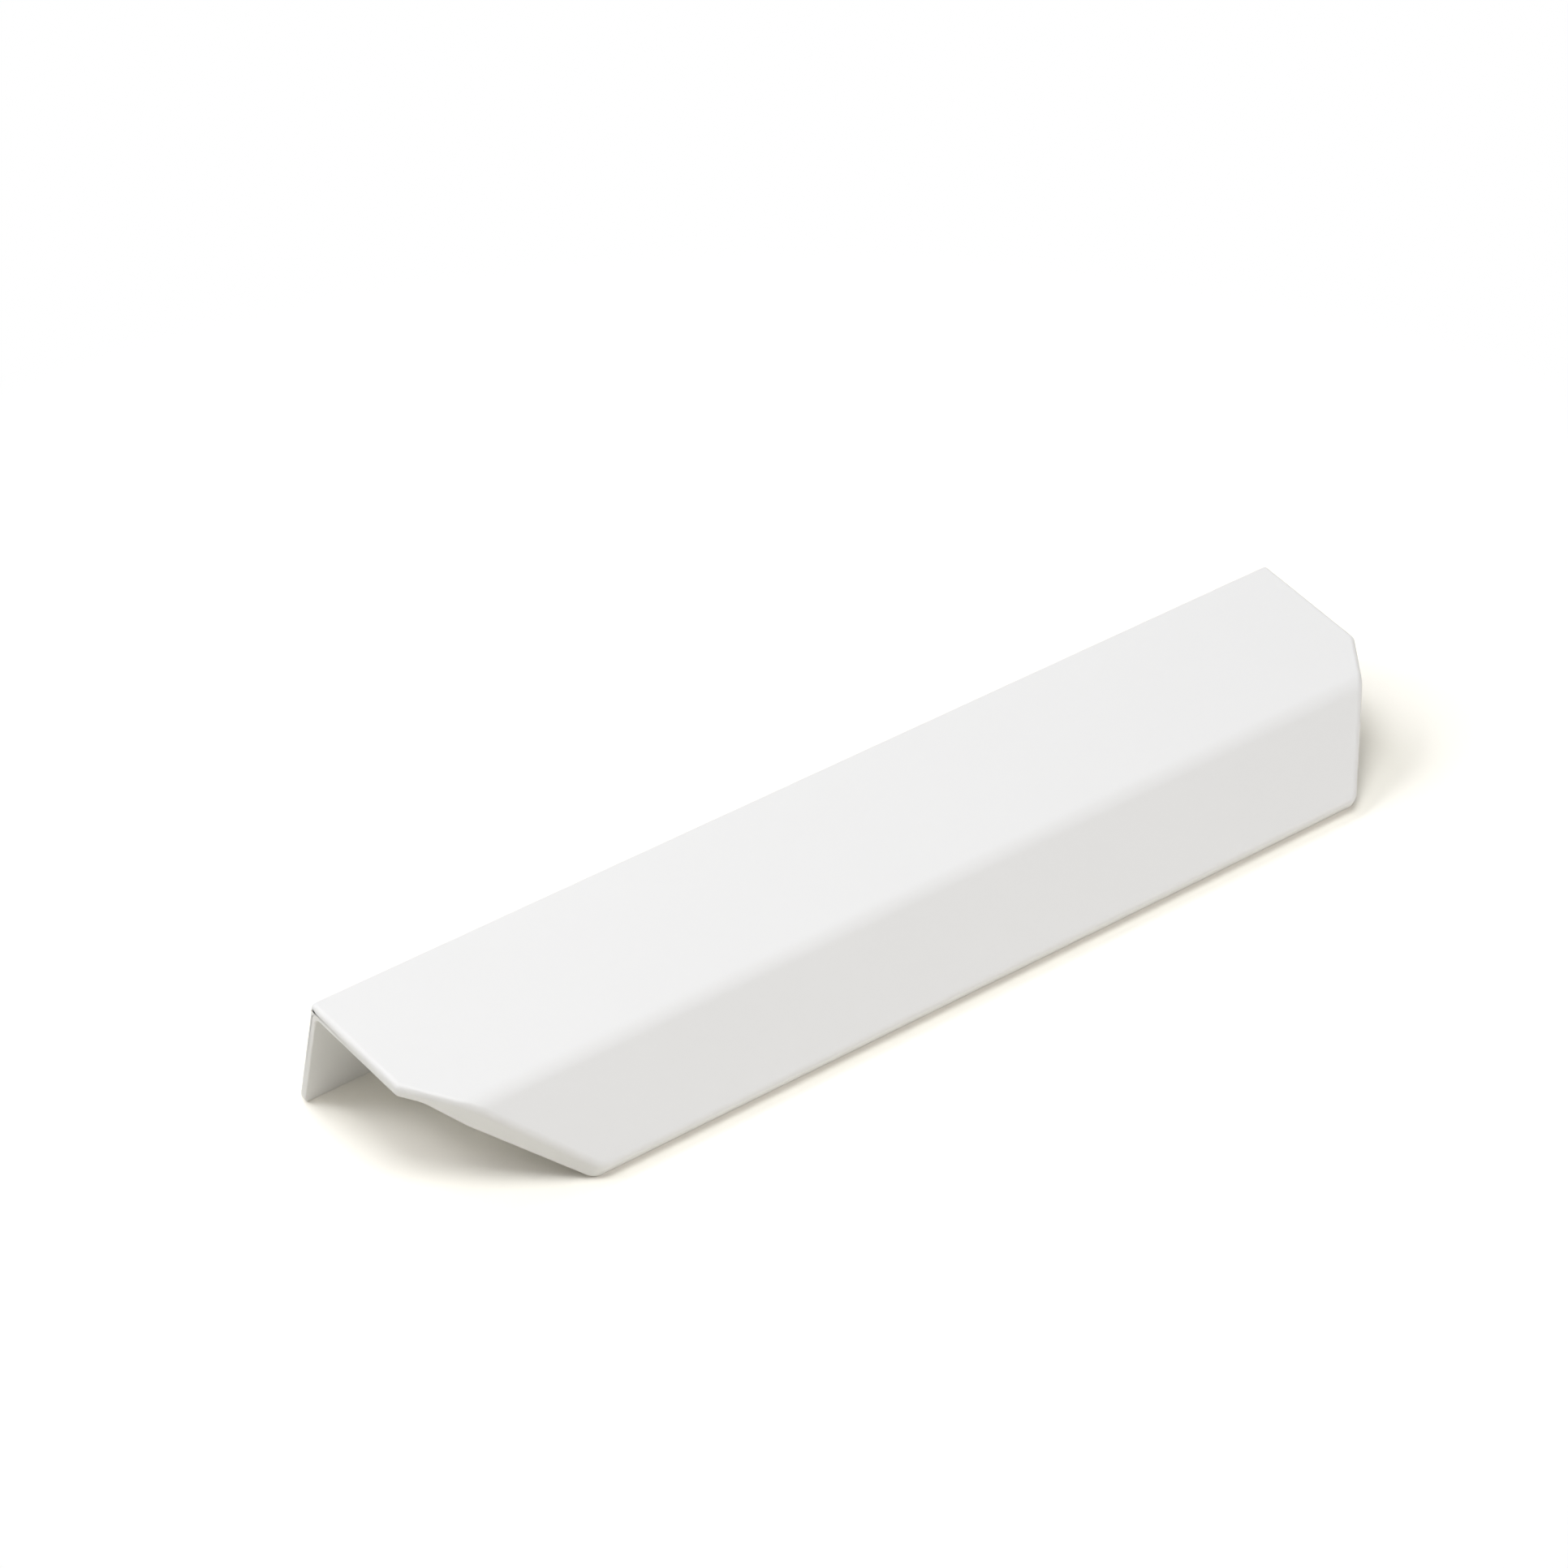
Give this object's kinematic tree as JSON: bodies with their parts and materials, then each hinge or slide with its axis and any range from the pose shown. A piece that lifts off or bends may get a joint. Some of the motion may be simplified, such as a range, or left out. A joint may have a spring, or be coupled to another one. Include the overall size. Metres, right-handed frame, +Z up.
{
  "type": "lip pull",
  "caption": "Slim door-edge pull: a back flange to screw behind the door, a flat plate over the edge and a sloping finger lip with mitred ends, painted white.",
  "frame": {"origin": "middle of the line through the screw holes, on the flange's door side", "axes": "+X along the pull, +Z up away from the door's edge, -Y towards the front of the door, where the lip is"},
  "size_m": [0.2, 0.0456, 0.0192],
  "materials": {
    "white_paint": "satin white powder coat"
  },
  "bodies": {
    "root": {"pull": "white_paint"}
  },
  "joints": []
}
